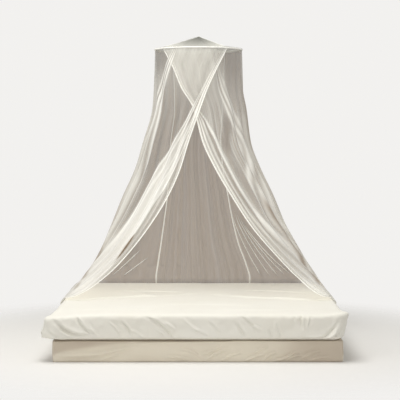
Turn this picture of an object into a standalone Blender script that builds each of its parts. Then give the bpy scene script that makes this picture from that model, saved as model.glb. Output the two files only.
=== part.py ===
"""A mosquito net canopy on a round hoop, hanging over a low double bed.

The net hangs from the peak of a four-ridged roof. Its walls drop from the hoop, flare out to the bed, and fall
over the mattress's two sides and its head. The left and the right wall overlap in front, where their taped free
edges cross, and each is drawn to its own side, which leaves a tall opening like a tent's door.

Metres, +Z up, the floor at 0. -Y is the foot of the bed, where one looks in, and +X is the right from there.
"""

import math

import bpy
import numpy as np

# The bed.
BED_Y = -0.0147
BED_WIDTH, BED_LENGTH = 1.930, 2.030
BASE_WIDTH, BASE_LENGTH, BASE_HEIGHT = 1.838, 1.950, 0.144
MATTRESS_TOP = 0.297
MATTRESS_CORNER = 0.110
MATTRESS_EDGE = 0.045

# The hoop and what is sewn to it.
HOOP_Y = BED_Y + 0.585
HOOP_HEIGHT = 2.090
HOOP_RADIUS = 0.325
HOOP_TUBE = 0.004
HOOP_STEPS = 36
SLEEVE_THICK = 0.0015
SLEEVE_SLOT = 0.0030
ROOF_RISE = 0.094
RIDGE_TURN = math.radians(-6.65)
GORE_STEPS, GORE_ROWS = 8, 6

# The cloth. Sheets are measured level, so they are thinner square to a slope.
SHEET = 0.0024
TAPE_WIDTH, TAPE_THICK = 0.009, 0.0030
GAP = 0.0003
COLUMNS_PER_FOLD = 4
PEAK_HOLE = 0.0012

# Level sections of the walls, from the hoop down to the hem. Each is a rectangle with rounded corners, which is
# the hoop's own circle at the top: how far it reaches left and right, to the front and to the back from the
# bed's middle, and its corner radius. Then, measured round the section, how far each free edge stands from the
# middle of the front towards its own side, and each seam from the middle of the back. The last four say how
# tightly the cloth is gathered to the free edges, how deep its folds are, how much of them stands outwards
# only, and how far the two layers in front are parted.
SECTION_COLUMNS = (
    "height", "left", "right", "front", "back", "corner", "edge_left", "edge_right",
    "seam_left", "seam_right", "gather", "fold", "lift", "parted",
)
SECTIONS = np.array((
    (2.0839, 0.325, 0.325, 0.260, 0.910, 0.325, -0.217, -0.293, 0.217, 0.217, 1.00, 0.0004, 0.0, 0.0022),
    (1.960, 0.326, 0.326, 0.260, 0.910, 0.325, -0.141, -0.205, 0.208, 0.210, 1.08, 0.0040, 0.0, 0.0070),
    (1.800, 0.328, 0.327, 0.254, 0.911, 0.327, -0.062, -0.129, 0.198, 0.201, 1.22, 0.0080, 0.0, 0.0125),
    (1.650, 0.338, 0.352, 0.240, 0.914, 0.335, -0.008, -0.033, 0.195, 0.192, 1.40, 0.0105, 0.0, 0.0155),
    (1.400, 0.405, 0.384, 0.200, 0.925, 0.360, 0.078, 0.038, 0.222, 0.176, 1.55, 0.0150, 0.0, 0.0140),
    (1.200, 0.461, 0.459, 0.155, 0.938, 0.375, 0.140, 0.134, 0.231, 0.190, 1.62, 0.0180, 0.0, 0.0090),
    (1.000, 0.548, 0.550, 0.100, 0.952, 0.375, 0.232, 0.253, 0.240, 0.225, 1.75, 0.0190, 0.0, 0.0030),
    (0.800, 0.629, 0.632, 0.035, 0.966, 0.360, 0.359, 0.385, 0.264, 0.262, 1.92, 0.0190, 0.0, 0.0),
    (0.600, 0.714, 0.738, -0.045, 0.980, 0.320, 0.518, 0.560, 0.292, 0.312, 2.05, 0.0170, 0.1, 0.0),
    (0.450, 0.806, 0.832, -0.115, 0.985, 0.260, 0.672, 0.709, 0.315, 0.368, 1.95, 0.0130, 0.4, 0.0),
    (0.330, 0.905, 0.915, -0.205, 0.988, 0.140, 0.871, 0.873, 0.330, 0.400, 1.80, 0.0070, 1.0, 0.0),
    (0.300, 0.948, 0.949, -0.235, 1.000, 0.100, 1.030, 1.060, 0.330, 0.400, 1.75, 0.0045, 1.0, 0.0),
    (0.270, 0.9685, 0.9685, -0.250, 1.0185, 0.085, 1.090, 1.100, 0.330, 0.400, 1.75, 0.0045, 1.0, 0.0),
    (0.220, 0.9666, 0.9666, -0.250, 1.0166, 0.085, 1.120, 1.125, 0.330, 0.400, 1.72, 0.0055, 1.0, 0.0),
    (0.160, 0.9720, 0.9720, -0.250, 1.0220, 0.085, 1.150, 1.150, 0.330, 0.400, 1.70, 0.0070, 1.0, 0.0),
    (0.025, 0.9760, 0.9760, -0.250, 1.0260, 0.085, 1.190, 1.180, 0.330, 0.400, 1.65, 0.0085, 1.0, 0.0),
))
WALL_ROWS = np.array((
    2.0839, 2.03, 1.94, 1.84, 1.73, 1.60, 1.46, 1.31, 1.15, 0.98, 0.81, 0.64, 0.50, 0.40, 0.33, 0.30, 0.27,
    0.22, 0.16, 0.025,
))

# The folds of each wall, from its free edge to its seam, or across the back: how wide each is, and how deep,
# against the mean.
LEFT_FOLDS = (
    (1.0, 1.0), (1.1, 0.8), (1.2, 1.2), (1.0, 0.9), (1.2, 1.1), (1.0, 0.7),
    (1.1, 1.2), (0.8, 0.9), (0.9, 1.0), (0.7, 0.8), (0.8, 0.9),
)
RIGHT_FOLDS = (
    (1.1, 0.9), (1.0, 1.1), (1.1, 0.8), (1.3, 1.2), (1.0, 0.9), (1.1, 1.1),
    (0.9, 0.8), (1.0, 1.0), (0.8, 1.2), (0.8, 0.9), (0.7, 0.9),
)
BACK_FOLDS = ((1.1, 0.6), (0.9, 0.8), (1.2, 0.5), (0.9, 0.8), (1.0, 0.6))
STEEPEST_FOLD = 0.42
PARTED_FADES = (0.50, 0.72)


def clear_scene():
    for thing in list(bpy.data.objects):
        bpy.data.objects.remove(thing, do_unlink=True)


def finish(name, colour, roughness, metallic=0.0):
    """A plain material of one colour."""
    material = bpy.data.materials.new(name)
    material.use_nodes = True
    shader = material.node_tree.nodes["Principled BSDF"]
    shader.inputs["Base Color"].default_value = (*colour, 1.0)
    shader.inputs["Roughness"].default_value = roughness
    shader.inputs["Metallic"].default_value = metallic
    return material


def add_solid(name, points, faces, material, smooth_below=None):
    """One object from a mesh; smooth_below is the sharpest bend, in degrees, that is shaded smooth."""
    mesh = bpy.data.meshes.new(name)
    mesh.from_pydata([tuple(map(float, p)) for p in points], [], [tuple(map(int, f)) for f in faces])
    mesh.validate()
    if smooth_below is not None:
        mesh.shade_smooth()
        mesh.set_sharp_from_angle(angle=math.radians(smooth_below))
    mesh.materials.append(material)
    thing = bpy.data.objects.new(name, mesh)
    bpy.context.scene.collection.objects.link(thing)
    return thing


def grid_faces(rows, columns, closed_rows=False, closed_columns=False):
    """The quads of a grid of points stored row by row."""
    i = np.arange(rows if closed_rows else rows - 1)[:, None]
    j = np.arange(columns if closed_columns else columns - 1)[None, :]
    a = i * columns + j
    b = i * columns + (j + 1) % columns
    c = (i + 1) % rows * columns + (j + 1) % columns
    d = (i + 1) % rows * columns + j
    return np.stack([a, b, c, d], axis=-1).reshape(-1, 4)


def halved(quads):
    """Two triangles for each quad, cut from its first corner to its third."""
    return np.concatenate([quads[:, [0, 1, 2]], quads[:, [0, 2, 3]]])


def sheet_mesh(outer, inner, leans_left=False):
    """A closed sheet between two grids of points: both faces, and a rim round them.

    Seen from outside, a grid's rows run down and its columns run to the right. Both faces are cut across the way
    their columns lean. The rim is cut the same way on both sides of a sheet, so that two sheets that meet edge
    to edge keep their gap.
    """
    rows, columns = outer.shape[:2]
    count = rows * columns
    quads = grid_faces(rows, columns)
    face = halved(quads if leans_left else np.roll(quads, -1, axis=1))
    index = np.arange(count).reshape(rows, columns)
    rim = np.concatenate([index[0, :-1], index[:-1, -1], index[-1, :0:-1], index[:0:-1, 0]])
    after = np.roll(rim, -1)
    onward = rim < after
    first = np.stack([rim, after, after + count, rim + count], axis=-1)[onward]
    second = np.stack([after, after + count, rim + count, rim], axis=-1)[~onward]
    faces = [
        face[:, ::-1],
        face + count,
        halved(first),
        halved(second),
    ]
    return np.concatenate([outer.reshape(-1, 3), inner.reshape(-1, 3)]), np.concatenate(faces)


def swept_ring(profile, radius, steps, centre):
    """A closed profile of (outward, up) points, anticlockwise, carried round the hoop's axis."""
    turn = np.arange(steps)[:, None] * 2 * math.pi / steps
    out, up = np.array(profile).T
    points = np.stack(
        [
            centre[0] + (radius + out) * np.cos(turn),
            centre[1] + (radius + out) * np.sin(turn),
            centre[2] + up + 0 * turn,
        ],
        axis=-1,
    )
    return points.reshape(-1, 3), grid_faces(steps, len(profile), True, True)[:, ::-1]


def section_value(column, heights):
    """A column of the sections at any height, on a cubic curve that never swings past its rows."""
    x = SECTIONS[::-1, 0]
    y = SECTIONS[::-1, SECTION_COLUMNS.index(column)]
    step = np.diff(x)
    slope = np.diff(y) / step
    product = slope[:-1] * slope[1:]
    mean = 2 * product / np.where(product > 0, slope[:-1] + slope[1:], 1)
    lean = np.concatenate([slope[:1], np.where(product > 0, mean, 0), slope[-1:]])
    i = np.clip(np.searchsorted(x, heights) - 1, 0, len(step) - 1)
    t = np.clip((heights - x[i]) / step[i], 0, 1)
    return (
        y[i] * (1 + 2 * t) * (1 - t) ** 2
        + y[i + 1] * t * t * (3 - 2 * t)
        + step[i] * t * (1 - t) * (lean[i] * (1 - t) - lean[i + 1] * t)
    )


def half_round(heights, side):
    """How long each section is from the middle of the front, round one side, to the middle of the back."""
    half = section_value("left" if side < 0 else "right", heights)
    depth = section_value("back", heights) - section_value("front", heights)
    corner = section_value("corner", heights)
    return 2 * (half - corner) + depth - 2 * corner + math.pi * corner


def outline(distance, heights):
    """The point and the level outward direction at a distance round each section.

    The distance runs from the middle of the front, positive to the right. It goes straight, turns through a
    corner's quarter circle, runs along the side, turns again, and comes back along the back.
    """
    side = np.where(distance < 0, -1.0, 1.0)
    half = np.where(side < 0, section_value("left", heights), section_value("right", heights))
    front, back = section_value("front", heights), section_value("back", heights)
    corner = section_value("corner", heights)
    run, quarter, along = half - corner, corner * math.pi / 2, back - front - 2 * corner
    d = np.abs(distance)
    first = np.clip((d - run) / corner, 0, math.pi / 2)
    second = np.clip((d - run - quarter - along) / corner, 0, math.pi / 2)
    x = np.minimum(d, run) + corner * np.sin(first) - corner * (1 - np.cos(second))
    x = x - np.maximum(d - run - 2 * quarter - along, 0)
    y = front + corner * (1 - np.cos(first)) + np.clip(d - run - quarter, 0, along) + corner * np.sin(second)
    point = np.stack([side * x, BED_Y + y, heights + 0 * d], axis=-1)
    turned = first + second
    outward = np.stack([side * np.sin(turned), -np.cos(turned), 0 * turned], axis=-1)
    return point, outward


def fold_positions(folds):
    """Where the columns of a wall lie, from 0 to 1, with each column's place in its fold and its depth."""
    widths, depths = np.array(folds).T
    ends = np.concatenate([[0], np.cumsum(widths)]) / widths.sum()
    place = np.arange(len(folds) * COLUMNS_PER_FOLD + 1) / COLUMNS_PER_FOLD
    share = np.interp(place, np.arange(len(ends)), ends)
    middles = np.arange(len(folds)) + 0.5
    return share, np.sin(2 * math.pi * place), np.interp(place, middles, depths)


def folded(distance, heights, wave, depth):
    """Sets the folds off a wall's sections, never steeper than STEEPEST_FOLD across a fold's own width."""
    point, outward = outline(distance, heights)
    pitch = np.abs(np.gradient(distance, axis=1)) * COLUMNS_PER_FOLD
    deepest = section_value("fold", heights) * depth
    deep = deepest / (1 + deepest / (STEEPEST_FOLD * pitch + 1e-6))
    offset = deep * (wave + section_value("lift", heights))
    return point, outward, offset


def wall(side, folds, heights):
    """The middle of a side wall: its points and level outward directions, from the free edge to the seam."""
    name = "left" if side < 0 else "right"
    share, wave, depth = fold_positions(folds)
    z = heights[:, None]
    edge = section_value("edge_" + name, z)
    seam = half_round(z, side) - section_value("seam_" + name, z)
    gather = section_value("gather", z)
    distance = edge + (seam - edge) * share**gather
    distance[:, -1:] -= GAP / 2
    point, outward, offset = folded(side * distance, z + 0 * distance, wave, depth)
    fade = np.clip((PARTED_FADES[1] - share) / (PARTED_FADES[1] - PARTED_FADES[0]), 0, 1)
    offset = offset - side * section_value("parted", z) * fade
    offset[:, -1] = 0
    return point + outward * offset[..., None], outward


def back_wall(folds, heights):
    """The middle of the back wall, from the right seam to the left one, as seen from behind."""
    share, wave, depth = fold_positions(folds)
    z = heights[:, None]
    half_left, half_right = half_round(z, -1), half_round(z, 1)
    right = section_value("seam_right", z) - GAP / 2
    left = section_value("seam_left", z) - GAP / 2
    across = right - (right + left) * share
    distance = np.where(across >= 0, half_right - across, -(half_left + across))
    point, outward = outline(distance, z + 0 * distance)
    pitch = np.abs(np.gradient(across, axis=1)) * COLUMNS_PER_FOLD
    deepest = section_value("fold", z) * depth
    deep = deepest / (1 + deepest / (STEEPEST_FOLD * pitch))
    offset = deep * (wave + section_value("lift", z))
    offset[:, [0, -1]] = 0
    return point + outward * offset[..., None], outward


def add_wall(name, point, outward, left_to_right, material):
    """Thickens a wall's middle to a sheet."""
    if not left_to_right:
        point, outward = point[:, ::-1], outward[:, ::-1]
    half = outward * SHEET / 2
    points, faces = sheet_mesh(point + half, point - half, leans_left=not left_to_right)
    return add_solid(name, points, faces, material, smooth_below=75)


def add_edge_tape(name, side, folds, material):
    """The binding on a free edge: a flat strip that follows it from the hoop to the hem."""
    point, outward = wall(side, folds, WALL_ROWS)
    edge, facing = point[:, 0], outward[:, 0]
    beyond = np.cross(facing, (0.0, 0.0, 1.0)) * side
    near, far = edge + beyond * GAP, edge + beyond * (GAP + TAPE_WIDTH)
    half = facing * TAPE_THICK / 2
    strip = (near + half, far + half) if side < 0 else (far + half, near + half)
    behind = (near - half, far - half) if side < 0 else (far - half, near - half)
    points, faces = sheet_mesh(np.stack(strip, axis=1), np.stack(behind, axis=1))
    return add_solid(name, points, faces, material, smooth_below=40)


def add_hoop(material):
    """The round steel rod that spreads the net."""
    turn = np.arange(6) * math.pi / 3
    profile = np.stack([HOOP_TUBE * np.cos(turn), HOOP_TUBE * np.sin(turn)], axis=-1)
    points, faces = swept_ring(profile, HOOP_RADIUS, HOOP_STEPS, (0, HOOP_Y, HOOP_HEIGHT))
    return add_solid("hoop", points, faces, material, smooth_below=70)


def add_hoop_sleeve(material):
    """The tape folded round the hoop, open along a slot that faces inwards."""
    near = HOOP_TUBE + GAP
    far = near + SLEEVE_THICK
    slot = SLEEVE_SLOT / 2
    profile = (
        (-far, slot), (-near, slot), (-near, near), (near, near), (near, -near), (-near, -near),
        (-near, -slot), (-far, -slot), (-far, -far), (far, -far), (far, far), (-far, far),
    )
    points, faces = swept_ring(profile, HOOP_RADIUS, HOOP_STEPS, (0, HOOP_Y, HOOP_HEIGHT))
    return add_solid("hoop_sleeve", points, faces, material, smooth_below=30)


def roof_height(along_gore):
    """The roof's rise at a distance from the peak, towards the middle of a gore: straight, then level."""
    chord = HOOP_RADIUS * math.cos(math.pi / 4)
    soft = 0.018
    left = 1 - along_gore / chord
    return ROOF_RISE * (left + np.sqrt(left**2 + (soft / chord) ** 2)) / 2


def add_roof_gore(name, facing, material):
    """One gore: a triangle that slopes down from the peak, and beyond it the level segment out to the hoop."""
    spread = np.linspace(-math.pi / 4, math.pi / 4, GORE_STEPS + 1)[None, :]
    rim = HOOP_RADIUS + HOOP_TUBE
    radius = PEAK_HOLE + (rim - PEAK_HOLE) * np.linspace(0, 1, GORE_ROWS)[:, None]
    ahead, aside = radius * np.cos(spread), radius * np.sin(spread)
    shy = np.zeros_like(spread)
    shy[0, 0], shy[0, -1] = GAP / 2, -GAP / 2
    ahead = ahead + np.abs(shy) * math.sin(math.pi / 4)
    aside = aside + shy * math.cos(math.pi / 4)
    toward = np.array((math.sin(facing), -math.cos(facing)))
    across = np.array((math.cos(facing), math.sin(facing)))
    level = HOOP_HEIGHT + HOOP_TUBE + SLEEVE_THICK + 2 * GAP
    inner = np.stack(
        [
            ahead * toward[0] + aside * across[0],
            HOOP_Y + ahead * toward[1] + aside * across[1],
            level + roof_height(ahead),
        ],
        axis=-1,
    )
    outer = inner + np.array((0, 0, SHEET))
    points, faces = sheet_mesh(outer, inner)
    return add_solid(name, points, faces, material, smooth_below=40)


def rounded_loop(half_width, low, high, corner, height, steps=5):
    """A level rectangle with rounded corners, seen from above anticlockwise."""
    points = []
    middles = ((1, 1, 0.0), (-1, 1, 0.5), (-1, -1, 1.0), (1, -1, 1.5))
    for right, back, start in middles:
        cx = right * (half_width - corner)
        cy = high - corner if back > 0 else low + corner
        for k in range(steps + 1):
            turn = math.pi * (start + 0.5 * k / steps)
            points.append((cx + corner * math.cos(turn), cy + corner * math.sin(turn), height))
    return points


def add_stack(name, loops, material, smooth_below):
    """A closed solid through level loops of the same count, from the bottom up."""
    count = len(loops[0])
    points = [p for loop in loops for p in loop]
    faces = [tuple(f) for f in grid_faces(len(loops), count, closed_columns=True)]
    faces.append(tuple(range(count))[::-1])
    faces.append(tuple(range((len(loops) - 1) * count, len(loops) * count)))
    return add_solid(name, points, faces, material, smooth_below)


def add_mattress(material):
    """The mattress in its sheet, softly rounded at its edges, a little fuller halfway up its sides."""
    bottom = BASE_HEIGHT + GAP
    levels = [(bottom, 0.026), (bottom + 0.012, 0.010), (bottom + 0.040, 0.0)]
    for k in range(6):
        turn = math.pi / 2 * k / 5
        height = MATTRESS_TOP - MATTRESS_EDGE + MATTRESS_EDGE * math.sin(turn)
        levels.append((height, MATTRESS_EDGE * (1 - math.cos(turn))))
    loops = [
        rounded_loop(
            BED_WIDTH / 2 - inset,
            BED_Y - BED_LENGTH / 2 + inset,
            BED_Y + BED_LENGTH / 2 - inset,
            MATTRESS_CORNER - 0.6 * inset,
            height,
        )
        for height, inset in levels
    ]
    return add_stack("mattress", loops, material, smooth_below=50)


def add_bed_base(material):
    """The low upholstered base, with a small round along its upright corners."""
    corner, foot = 0.020, 0.004
    loops = [
        rounded_loop(
            BASE_WIDTH / 2 - inset,
            BED_Y - BASE_LENGTH / 2 + inset,
            BED_Y + BASE_LENGTH / 2 - inset,
            corner,
            height,
            steps=3,
        )
        for height, inset in ((0.0, foot), (foot, 0.0), (BASE_HEIGHT - foot, 0.0), (BASE_HEIGHT, foot))
    ]
    return add_stack("bed_base", loops, material, smooth_below=40)


clear_scene()
netting = finish("netting", (0.86, 0.84, 0.77), 0.85)
binding = finish("binding", (0.90, 0.89, 0.84), 0.75)
steel = finish("hoop_steel", (0.80, 0.79, 0.74), 0.40, 0.6)
sheeting = finish("sheeting", (0.88, 0.86, 0.78), 0.80)
upholstery = finish("upholstery", (0.55, 0.49, 0.41), 0.85)

add_hoop(steel)
add_hoop_sleeve(binding)
for gore, degrees in (("front", 0), ("right", 90), ("back", 180), ("left", 270)):
    add_roof_gore("roof_gore_" + gore, RIDGE_TURN + math.radians(degrees), netting)
add_wall("net_left", *wall(-1, LEFT_FOLDS, WALL_ROWS), False, netting)
add_wall("net_right", *wall(1, RIGHT_FOLDS, WALL_ROWS), True, netting)
add_wall("net_back", *back_wall(BACK_FOLDS, WALL_ROWS), True, netting)
add_edge_tape("edge_tape_left", -1, LEFT_FOLDS, binding)
add_edge_tape("edge_tape_right", 1, RIGHT_FOLDS, binding)
add_mattress(sheeting)
add_bed_base(upholstery)
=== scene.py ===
import math

import bpy
import numpy as np
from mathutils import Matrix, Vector


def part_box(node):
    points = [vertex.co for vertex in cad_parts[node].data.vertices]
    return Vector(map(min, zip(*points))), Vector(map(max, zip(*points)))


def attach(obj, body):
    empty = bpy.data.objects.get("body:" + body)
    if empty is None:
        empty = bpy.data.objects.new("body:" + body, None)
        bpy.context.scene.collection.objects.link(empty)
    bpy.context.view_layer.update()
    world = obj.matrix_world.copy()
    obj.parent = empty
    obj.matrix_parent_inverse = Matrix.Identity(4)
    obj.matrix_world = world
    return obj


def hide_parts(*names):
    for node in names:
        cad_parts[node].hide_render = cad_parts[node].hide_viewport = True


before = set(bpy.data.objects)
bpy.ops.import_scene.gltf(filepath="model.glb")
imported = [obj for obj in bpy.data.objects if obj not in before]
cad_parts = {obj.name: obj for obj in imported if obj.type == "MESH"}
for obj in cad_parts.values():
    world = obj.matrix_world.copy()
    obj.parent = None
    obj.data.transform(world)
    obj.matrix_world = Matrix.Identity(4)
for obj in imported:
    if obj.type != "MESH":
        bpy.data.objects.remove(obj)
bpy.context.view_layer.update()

# ---------------------------------------------------------------------------------------------
# Bed base: a low box in a stretched beige woven cover, drawn under and tacked along its foot.
# The cover hangs a little slack under the mattress and puckers where it is pulled down.

BASE_CORNER = 0.012
BASE_ROUND = 0.005
BASE_WALK = (420, 150, 8)
BASE_SLACK = 0.0045
BASE_GROOVE = (0.0105, 0.022)
COVER_LIGHT = (0.87, 0.815, 0.69)
COVER_DARK = (0.56, 0.485, 0.395)


def way_round(front_steps, side_steps, corner_steps):
    """The columns round a rectangle with round corners, anticlockwise from the left end of its front.

    Each column has a lean in x and in y, from -1 to 1, which says where the centre of its corner circle
    stands, and the turn of its outward direction. A straight run changes one lean, and a corner changes only
    the turn.
    """
    run = np.linspace(-1, 1, front_steps, endpoint=False)
    along = np.linspace(-1, 1, side_steps, endpoint=False)
    bend = np.linspace(0, 1, corner_steps, endpoint=False)
    one_f, one_s, one_c = np.ones_like(run), np.ones_like(along), np.ones_like(bend)
    lean_x = np.concatenate([run, one_c, one_s, one_c, -run, -one_c, -one_s, -one_c])
    lean_y = np.concatenate([-one_f, -one_c, along, one_c, one_f, one_c, -along, -one_c])
    turn = np.concatenate(
        [-one_f, bend - 1, 0 * one_s, bend, one_f, 1 + bend, 2 * one_s, 2 + bend]
    )
    return lean_x, lean_y, turn * math.pi / 2


def ring(way, half_width, low, high, corner):
    """Level points and outward directions round rectangles: the corner's centre, plus its radius outwards."""
    lean_x, lean_y, turn = way
    middle, half_length = (low + high) / 2, (high - low) / 2
    x = lean_x * (half_width - corner) + corner * np.cos(turn)
    y = middle + lean_y * (half_length - corner) + corner * np.sin(turn)
    return x, y, np.cos(turn) + 0 * x, np.sin(turn) + 0 * x


def crease(across, up, start, end, bend, width, depth):
    """A ridge along a bowed line, or a trough if depth is below 0.

    Depth times a bell of the distance from the line over its width, less half of a wider bell beside it, and
    fading out past both ends. Bend bows the line's middle aside, as a share of its length.
    """
    start, end = np.array(start), np.array(end)
    way = end - start
    length = math.hypot(*way)
    way = way / length
    along = ((across - start[0]) * way[0] + (up - start[1]) * way[1]) / length
    aside = (across - start[0]) * -way[1] + (up - start[1]) * way[0]
    aside = aside - bend * length * 4 * along * (1 - along)
    fade = np.clip((along + 0.1) / 0.35, 0, 1) * np.clip((1.1 - along) / 0.35, 0, 1)
    fade = fade * fade * (3 - 2 * fade)
    bell = np.exp(-((aside / width) ** 2)) - 0.5 * np.exp(-(((aside - 1.7 * width) / (1.3 * width)) ** 2))
    return depth * bell * fade


def rumple(u, v, cells_u, cells_v, seed):
    """Smooth unevenness from -1 to 1: random heights on a lattice over u and v from 0 to 1, joined by
    cubics."""
    lattice = np.random.default_rng(seed).uniform(-1, 1, (cells_v + 2, cells_u + 2))
    a, b = np.clip(u, 0, 1) * cells_u, np.clip(v, 0, 1) * cells_v
    i, j = np.minimum(a.astype(int), cells_u - 1), np.minimum(b.astype(int), cells_v - 1)
    s, t = a - i, b - j
    s, t = s * s * (3 - 2 * s), t * t * (3 - 2 * t)
    low = lattice[j, i] * (1 - s) + lattice[j, i + 1] * s
    high = lattice[j + 1, i] * (1 - s) + lattice[j + 1, i + 1] * s
    return low * (1 - t) + high * t


def grid_quads(rows, columns, closed=False):
    """The quads of a grid stored row by row, facing outwards where rows run up and columns anticlockwise."""
    i = np.arange(rows - 1)[:, None]
    j = np.arange(columns if closed else columns - 1)[None, :]
    after = (j + 1) % columns
    quads = [i * columns + j, i * columns + after, (i + 1) * columns + after, (i + 1) * columns + j]
    return np.stack(np.broadcast_arrays(*quads), axis=-1).reshape(-1, 4)


def end_caps(rows, columns):
    """The two faces that close the ends of a closed grid, facing outwards."""
    foot = np.arange(columns)
    return foot[::-1], foot + (rows - 1) * columns


def add_piece(name, points, quads, material, caps=(), uv=None, values=None):
    """A mesh object from whole arrays, shaded smooth, with its UV map and its point attributes."""
    points = points.reshape(-1, 3)
    faces = quads.tolist() + [list(map(int, cap)) for cap in caps]
    mesh = bpy.data.meshes.new(name)
    mesh.from_pydata(points.tolist(), [], faces)
    mesh.validate()
    mesh.shade_smooth()
    mesh.materials.append(material)
    if uv is not None:
        corners = np.empty(len(mesh.loops), np.int32)
        mesh.loops.foreach_get("vertex_index", corners)
        layer = mesh.uv_layers.new(name="cloth")
        layer.uv.foreach_set("vector", uv.reshape(-1, 2)[corners].astype(np.float32).ravel())
    for key, value in (values or {}).items():
        attribute = mesh.attributes.new(key, "FLOAT", "POINT")
        attribute.data.foreach_set("value", value.astype(np.float32).ravel())
    thing = bpy.data.objects.new(name, mesh)
    bpy.context.scene.collection.objects.link(thing)
    return thing


def new_material(name, roughness, sheen=0.0):
    """A material with its Principled shader, and a function that adds a node and sets its values."""
    material = bpy.data.materials.new(name)
    material.use_nodes = True
    tree = material.node_tree
    shader = tree.nodes["Principled BSDF"]
    shader.inputs["Roughness"].default_value = roughness
    shader.inputs["Sheen Weight"].default_value = sheen
    shader.inputs["Specular IOR Level"].default_value = 0.25

    def node(kind, **values):
        made = tree.nodes.new(kind)
        for key, value in values.items():
            if key in made.inputs:
                made.inputs[key].default_value = value
            else:
                setattr(made, key, value)
        return made

    return material, tree.links.new, shader, node


def woven_material(name, colour, patch, thread_pitch, thread_relief, roughness=0.85, tone=None):
    """Plain woven cloth: a cloudy mix of two near colours, and crossed threads as bump.

    With a tone, the named attribute adds to the cloud, so that some places take more of the second colour.
    """
    material, link, shader, node = new_material(name, roughness, 0.1)
    place = node("ShaderNodeTexCoord")
    cloud = node("ShaderNodeTexNoise", Scale=3.2, Detail=3.0, Roughness=0.55)
    tint = node("ShaderNodeMix", data_type="RGBA")
    tint.inputs["A"].default_value = (*colour, 1)
    tint.inputs["B"].default_value = (*patch, 1)
    link(place.outputs["Object"], cloud.inputs["Vector"])
    amount = cloud.outputs["Fac"]
    if tone:
        own = node("ShaderNodeAttribute", attribute_name=tone)
        total = node("ShaderNodeMath", operation="MULTIPLY_ADD", use_clamp=True)
        link(cloud.outputs["Fac"], total.inputs[0])
        total.inputs[1].default_value = 0.30
        link(own.outputs["Fac"], total.inputs[2])
        amount = total.outputs[0]
    link(amount, tint.inputs["Factor"])
    link(tint.outputs["Result"], shader.inputs["Base Color"])
    heights = []
    for direction in ("X", "Z"):
        thread = node("ShaderNodeTexWave", bands_direction=direction, Distortion=1.5)
        thread.inputs["Scale"].default_value = 0.314 / thread_pitch
        thread.inputs["Detail"].default_value = 1.0
        link(place.outputs["Object"], thread.inputs["Vector"])
        heights.append(thread.outputs["Fac"])
    both = node("ShaderNodeMath", operation="ADD")
    link(heights[0], both.inputs[0])
    link(heights[1], both.inputs[1])
    bump = node("ShaderNodeBump", Strength=0.35, Distance=thread_relief)
    link(both.outputs[0], bump.inputs["Height"])
    link(bump.outputs["Normal"], shader.inputs["Normal"])
    return material


base_low, base_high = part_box("bed_base")
bed_y = (base_low.y + base_high.y) / 2
base_way = way_round(*BASE_WALK)
level = np.concatenate([np.linspace(0, 0.12, 6), np.linspace(0.12, 0.88, 28)[1:-1], np.linspace(0.88, 1, 14)])
height = level[:, None] * base_high.z
rounding = BASE_ROUND * (
    np.clip(1 - height / BASE_ROUND, 0, 1) ** 2 + np.clip(1 - (base_high.z - height) / BASE_ROUND, 0, 1) ** 2
)
turn_round = np.linspace(0, 1, len(base_way[0]), endpoint=False)[None, :]
uneven_edge = 0.0022 * rumple(turn_round, 0 * turn_round, 34, 1, 9)
groove = np.clip((height - base_high.z + BASE_GROOVE[0] + uneven_edge) / 0.003, 0, 1)
rounding = rounding + BASE_GROOVE[1] * groove
x, y, out_x, out_y = ring(
    base_way, base_high.x - rounding, base_low.y + rounding, base_high.y - rounding, BASE_CORNER
)
height = height + 0 * x
x = x * 1.012 - 0.004
# The puckers on each side, as start and end (across, height), bow, width and depth in metres.
FRONT_PUCKERS = (
    ((-0.90, 0.045), (-0.40, 0.112), -0.05, 0.014, 0.0060),
    ((-0.42, 0.112), (0.05, 0.124), 0.02, 0.010, 0.0035),
    ((0.42, 0.012), (0.50, 0.060), 0.10, 0.006, 0.0045),
    ((0.49, 0.010), (0.62, 0.066), -0.08, 0.007, 0.0055),
    ((0.56, 0.006), (0.66, 0.040), 0.12, 0.006, 0.0040),
    ((0.30, 0.006), (0.42, 0.046), 0.06, 0.007, 0.0040),
    ((0.36, 0.060), (0.45, 0.098), 0.05, 0.007, 0.0030),
    ((0.02, 0.050), (0.14, 0.100), -0.08, 0.007, 0.0036),
    ((0.06, 0.020), (0.20, 0.080), 0.08, 0.007, 0.0034),
    ((0.15, 0.010), (0.27, 0.060), 0.05, 0.007, 0.0034),
    ((-0.12, 0.085), (0.01, 0.030), 0.10, 0.008, 0.0032),
    ((-0.20, 0.030), (-0.06, 0.014), 0.05, 0.006, 0.0024),
    ((0.66, 0.020), (0.78, 0.070), 0.05, 0.008, 0.0034),
    ((0.72, 0.008), (0.84, 0.030), 0.05, 0.006, 0.0026),
    ((-0.62, 0.010), (-0.50, 0.050), 0.06, 0.009, 0.0026),
)
push = np.zeros_like(x)
for start, end, bow, width, depth in FRONT_PUCKERS:
    on_front = np.clip(-out_y, 0, 1) ** 4
    push += 2.2 * on_front * crease(x, height, start, end, bow, width, depth)
    on_back = np.clip(out_y, 0, 1) ** 4
    push += 0.8 * on_back * crease(-x, height, start, end, bow, width, depth)
    for side in (-1, 1):
        on_side = np.clip(side * out_x, 0, 1) ** 4
        push += 0.7 * on_side * crease(side * (y - bed_y), height, start, end, bow, width, depth)
share_round = np.linspace(0, 1, x.shape[1], endpoint=False)[None, :] + 0 * x
push += 0.0012 * rumple(share_round, height / base_high.z, 60, 3, 3)
push += BASE_SLACK * (height / base_high.z) * (1 - height / base_high.z) * 2
edge_hold = np.clip(height / 0.012, 0, 1) * np.clip((base_high.z - height) / 0.022, 0, 1)
push = push * edge_hold
points = np.stack([x + out_x * push, y + out_y * push, height], axis=-1)
count = x.shape[1]
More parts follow.
